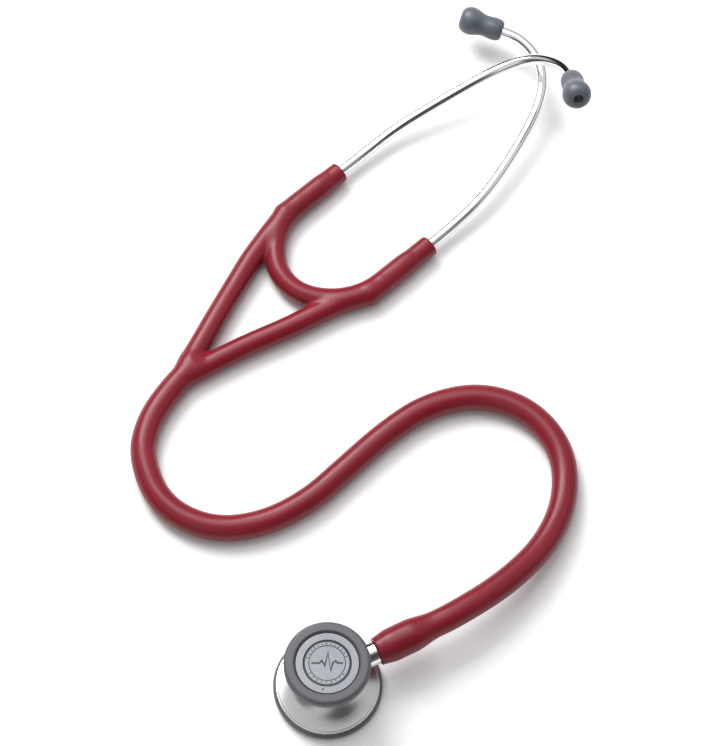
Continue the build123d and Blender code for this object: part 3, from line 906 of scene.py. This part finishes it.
def strokeOutline(line, width):
    line = [Vector(point) for point in line]
    left, right = [], []
    for index, point in enumerate(line):
        last = index == len(line) - 1
        ahead = None if last else (line[index + 1] - point).normalized()
        back = (point - line[index - 1]).normalized() if index else None
        ahead, back = ahead or back, back or ahead
        middle = (ahead + back).normalized()
        side = Vector((-middle.y, middle.x))
        reach = min(0.5 * width / max(side.dot(Vector((-ahead.y, ahead.x))), 0.3), 1.2 * width)
        left.append(point + reach * side)
        right.append(point - reach * side)
    return [tuple(point) for point in right + left[::-1]]


def makeBadge():
    parts = []
    low, high = badgeTop - 0.02, badgeTop + badge["thickness"]
    for number, (inner, outer) in enumerate(badge["rings"]):
        outline = [(inner, low), (outer, low), (outer, high), (inner, high)]
        parts.append(turnedPiece(f"badgeRing{number}", outline, ink, steps=128, closed=True))
        parts[-1].data.shade_flat()
    near, far = badge["tickRadius"]
    half = badge["tickWidth"] / 2
    for number, degrees in enumerate(badge["ticks"]):
        way = Vector((math.cos(math.radians(degrees)), math.sin(math.radians(degrees))))
        side = Vector((-way.y, way.x))
        short = far if number % 3 == 0 else far - 0.3
        corners = [(near, -half), (short, -half), (short, half), (near, half)]
        outline = [tuple(out * way + aside * side) for out, aside in corners]
        parts.append(inkBlock(f"badgeTick{number}", outline))
    parts.append(inkBlock("badgePulse", strokeOutline(badge["pulse"], badge["pulseWidth"])))
    x, y, radius = badge["dot"]
    turns = [2 * math.pi * step / badge["dotSides"] for step in range(badge["dotSides"])]
    dot = [(x + radius * math.cos(turn), y + radius * math.sin(turn)) for turn in turns]
    parts.append(inkBlock("badgeDot", dot))
    joined = bmesh.new()
    for part in parts:
        joined.from_mesh(part.data)
        bpy.data.objects.remove(part)
    mesh = bpy.data.meshes.new("badgePrint")
    joined.to_mesh(mesh)
    joined.free()
    mesh.materials.append(ink)
    piece = bpy.data.objects.new("badgePrint", mesh)
    bpy.context.scene.collection.objects.link(piece)
    settle(piece, "paediatric_diaphragm_body", "diaphragm_resin")


makeBadge()
print("badge: printed rings, ticks and pulse line")


# headset: ear tubes and tips

headset = {
    "tubeRadius": 0.0025,
    "sides": 48,
    "spacing": 0.0010,
    # (along the sleeve, inward, up) in millimetres from the sleeve's end
    "route": [
        (-9, 0, 0), (3, 0, 0), (14, 0, 0), (33, 0.4, 1.4), (57, 5.6, 5.0), (82, 13.0, 10.6),
        (95.8, 23.0, 17.0), (99.5, 38.5, 23.6), (94.0, 51.0, 28.4), (86.0, 63.5, 35.4),
    ],
    "cadStart": (-0.0655, 0.1382, 0.0056),
    "spacingAcross": 27.0,
    "sleeveEnd": 122.5,
    # side, reach past the common end, roll, yaw and pitch in the sleeve
    "arms": {"left": (1, -1.5, 6.0, -1.3, 0.0), "right": (-1, 2.5, -22.0, 0.5, 1.0)},
    "tipLength": 20.0,
    "tubeInTip": 8.0,
    "tip": [
        (2.5, 1.2), (2.8, 0.1), (3.7, 0.1), (4.6, 0.9), (5.1, 2.6), (5.2, 4.8), (4.8, 7.6), (4.9, 9.8),
        (5.7, 12.0), (6.4, 14.4), (6.3, 16.8), (5.2, 19.0), (3.6, 20.1), (2.5, 20.05), (2.15, 19.6),
    ],
    "tipHole": [(2.1, 19.2), (2.05, 17.6), (1.9, 17.3), (0.0, 17.3)],
}


def turned(first, second, degrees):
    turn = math.radians(degrees)
    cosine, sine = math.cos(turn), math.sin(turn)
    return first * cosine - second * sine, first * sine + second * cosine


def headsetPoint(arm, point):
    side, reach, roll, yaw, pitch = arm
    forward, inward, height = point
    inward, height = turned(inward, height, roll)
    forward, height = turned(forward, height, pitch)
    forward, inward = turned(forward, inward, -yaw)
    along = headset["sleeveEnd"] + reach + forward
    across = side * (headset["spacingAcross"] - inward)
    place = along * alongYoke + across * acrossYoke + height * Vector((0, 0, 1))
    return Vector(headset["cadStart"]) + mm * place


for side, arm in headset["arms"].items():
    route = [headsetPoint(arm, point) for point in headset["route"]]
    tipEnd, tipWay = route[-1], (route[-1] - route[-2]).normalized()
    tipStart = tipEnd - mm * headset["tipLength"] * tipWay
    route[-1] = tipEnd - mm * headset["tubeInTip"] * tipWay
    path = Path(splinePoints([tuple(point) for point in route]))
    count = round(path.total / headset["spacing"])
    rings = [(path.total * step / count, headset["tubeRadius"]) for step in range(count + 1)]
    tube = ringTube(side + "EarTube", path, rings, headset["sides"], chrome)
    settle(tube, side + "_arm", "chromed_tube", side + "_ear_tube")
    outline = smoothOutline(headset["tip"]) + headset["tipHole"]
    tip = turnedPiece(side + "EarTip", outline, tipRubber, centre=tipStart, axis=tipWay, steps=96)
    settle(tip, side + "_arm", "tip_rubber", side + "_ear_tip")
print("headset: tubes and tips")


# leaf spring inside the yoke

leaf = {
    "web": 66.4,
    "end": 110.5,
    "across": 23.9,
    "bend": 19.9,
    "spacing": 1.5,
    # section: (across the leaf, up), with eased edges
    "section": [
        (0.35, -2.3), (0.35, 2.3), (0.15, 2.5), (-0.15, 2.5),
        (-0.35, 2.3), (-0.35, -2.3), (-0.15, -2.5), (0.15, -2.5),
    ],
}


def leafHalf():
    web, across, bend = leaf["web"], leaf["across"], leaf["bend"]
    line = [(web, (across - bend) * step / 8) for step in range(9)]
    for step in range(1, 17):
        turn = math.radians(90 * step / 16)
        line.append((web + bend - bend * math.cos(turn), across - bend + bend * math.sin(turn)))
    count = int((leaf["end"] - web - bend) / leaf["spacing"])
    straight = leaf["end"] - web - bend
    return line + [(web + bend + straight * step / count, across) for step in range(1, count + 1)]


def leafStrip(name, line):
    vertices, faces = [], []
    sides = len(leaf["section"])
    for index, (along, across) in enumerate(line):
        before, after = line[max(index - 1, 0)], line[min(index + 1, len(line) - 1)]
        way = Vector((after[0] - before[0], after[1] - before[1])).normalized()
        for offset, height in leaf["section"]:
            place = (along - offset * way.y) * alongYoke + (across + offset * way.x) * acrossYoke
            vertices.append(Vector(headset["cadStart"]) + mm * (place + height * Vector((0, 0, 1))))
    for ring in range(len(line) - 1):
        for step in range(sides):
            here, after = ring * sides + step, ring * sides + (step + 1) % sides
            faces.append((here, here + sides, after + sides, after))
    last = (len(line) - 1) * sides
    faces += [tuple(range(sides)), tuple(range(last, last + sides))[::-1]]
    piece = addPiece(name, vertices, faces, spring)
    piece.data.set_sharp_from_angle(angle=0.5)
    return piece


def makeLeaf():
    half = leafHalf()
    cut = max(index for index, (along, across) in enumerate(half) if along <= yoke["splitPlace"])
    middle = [(along, -across) for along, across in half[cut:0:-1]] + half[:cut + 1]
    settle(leafStrip("leafMiddle", middle), "tubing", "spring_steel", "binaural_spring")
    for side, sign in (("left", 1), ("right", -1)):
        piece = leafStrip(side + "LeafEnd", [(along, sign * across) for along, across in half[cut:]])
        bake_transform(piece)


makeLeaf()
print("leaf spring: middle and two ends")


# table top

def makeFloor():
    half = studio["floorSize"] / 2
    corners = [(-half, -half, 0), (half, -half, 0), (half, half, 0), (-half, half, 0)]
    floor = addPiece("paleFloor", corners, [(0, 1, 2, 3)], paper)


makeFloor()
